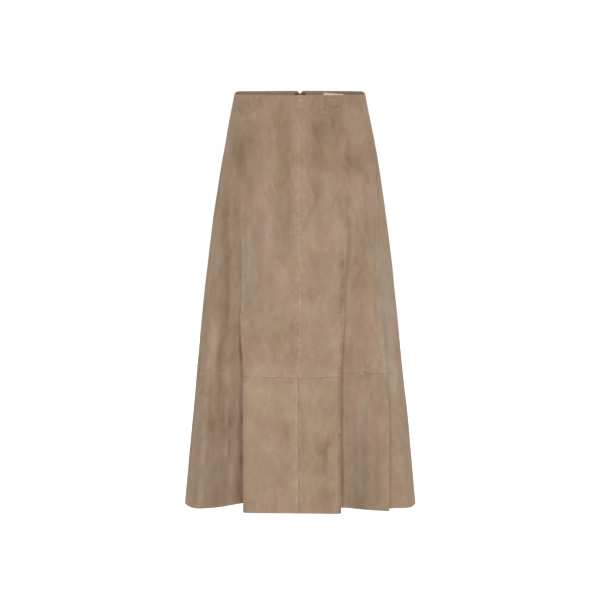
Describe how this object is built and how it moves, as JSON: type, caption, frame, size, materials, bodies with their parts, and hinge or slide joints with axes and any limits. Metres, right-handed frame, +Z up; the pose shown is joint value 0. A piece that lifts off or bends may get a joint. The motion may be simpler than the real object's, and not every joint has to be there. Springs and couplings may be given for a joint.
{
  "type": "circle skirt",
  "caption": "Mid-length suede skirt, filled out with no wearer: panelled A-line form with box-shaped flutes, a deep hem tier, a faced waist and a back zip with a hinged pull tab.",
  "frame": {"origin": "middle of the waist opening at the height of the back waist edge, where the wearer holds the skirt up", "axes": "+Z up out of the waist opening, -Y towards the front, +X towards the wearer's left"},
  "size_m": [0.4708, 0.3302, 0.8401],
  "materials": {
    "suede": "taupe suede, short mottled nap that runs down the skirt, matt with a soft sheen at the edges",
    "suede_inside": "greyer flesh side of the same suede, matt",
    "label": "plain cream woven tape, blank",
    "zip_tape": "brown woven zip tape",
    "metal": "antique bronze, satin"
  },
  "bodies": {
    "skirt": {"front_panel_right": "suede", "front_panel_left": "suede", "back_panel_right": "suede", "back_panel_left": "suede", "tier_front_right": "suede", "tier_front_left": "suede", "tier_back_right": "suede", "tier_back_left": "suede", "waist_facing": "suede_inside", "label": "label", "zip_tape": "zip_tape", "zip_slider": "metal", "hook": "metal", "eye": "metal"},
    "pull_tab": {"zip_pull": "metal"}
  },
  "joints": [
    {"name": "pull_tab_hinge", "type": "hinge", "parent": "skirt", "child": "pull_tab", "pos_m": [0.00019, 0.10222, -0.01576], "axis": [1, 0, 0], "range_deg": [0, 160]}
  ]
}
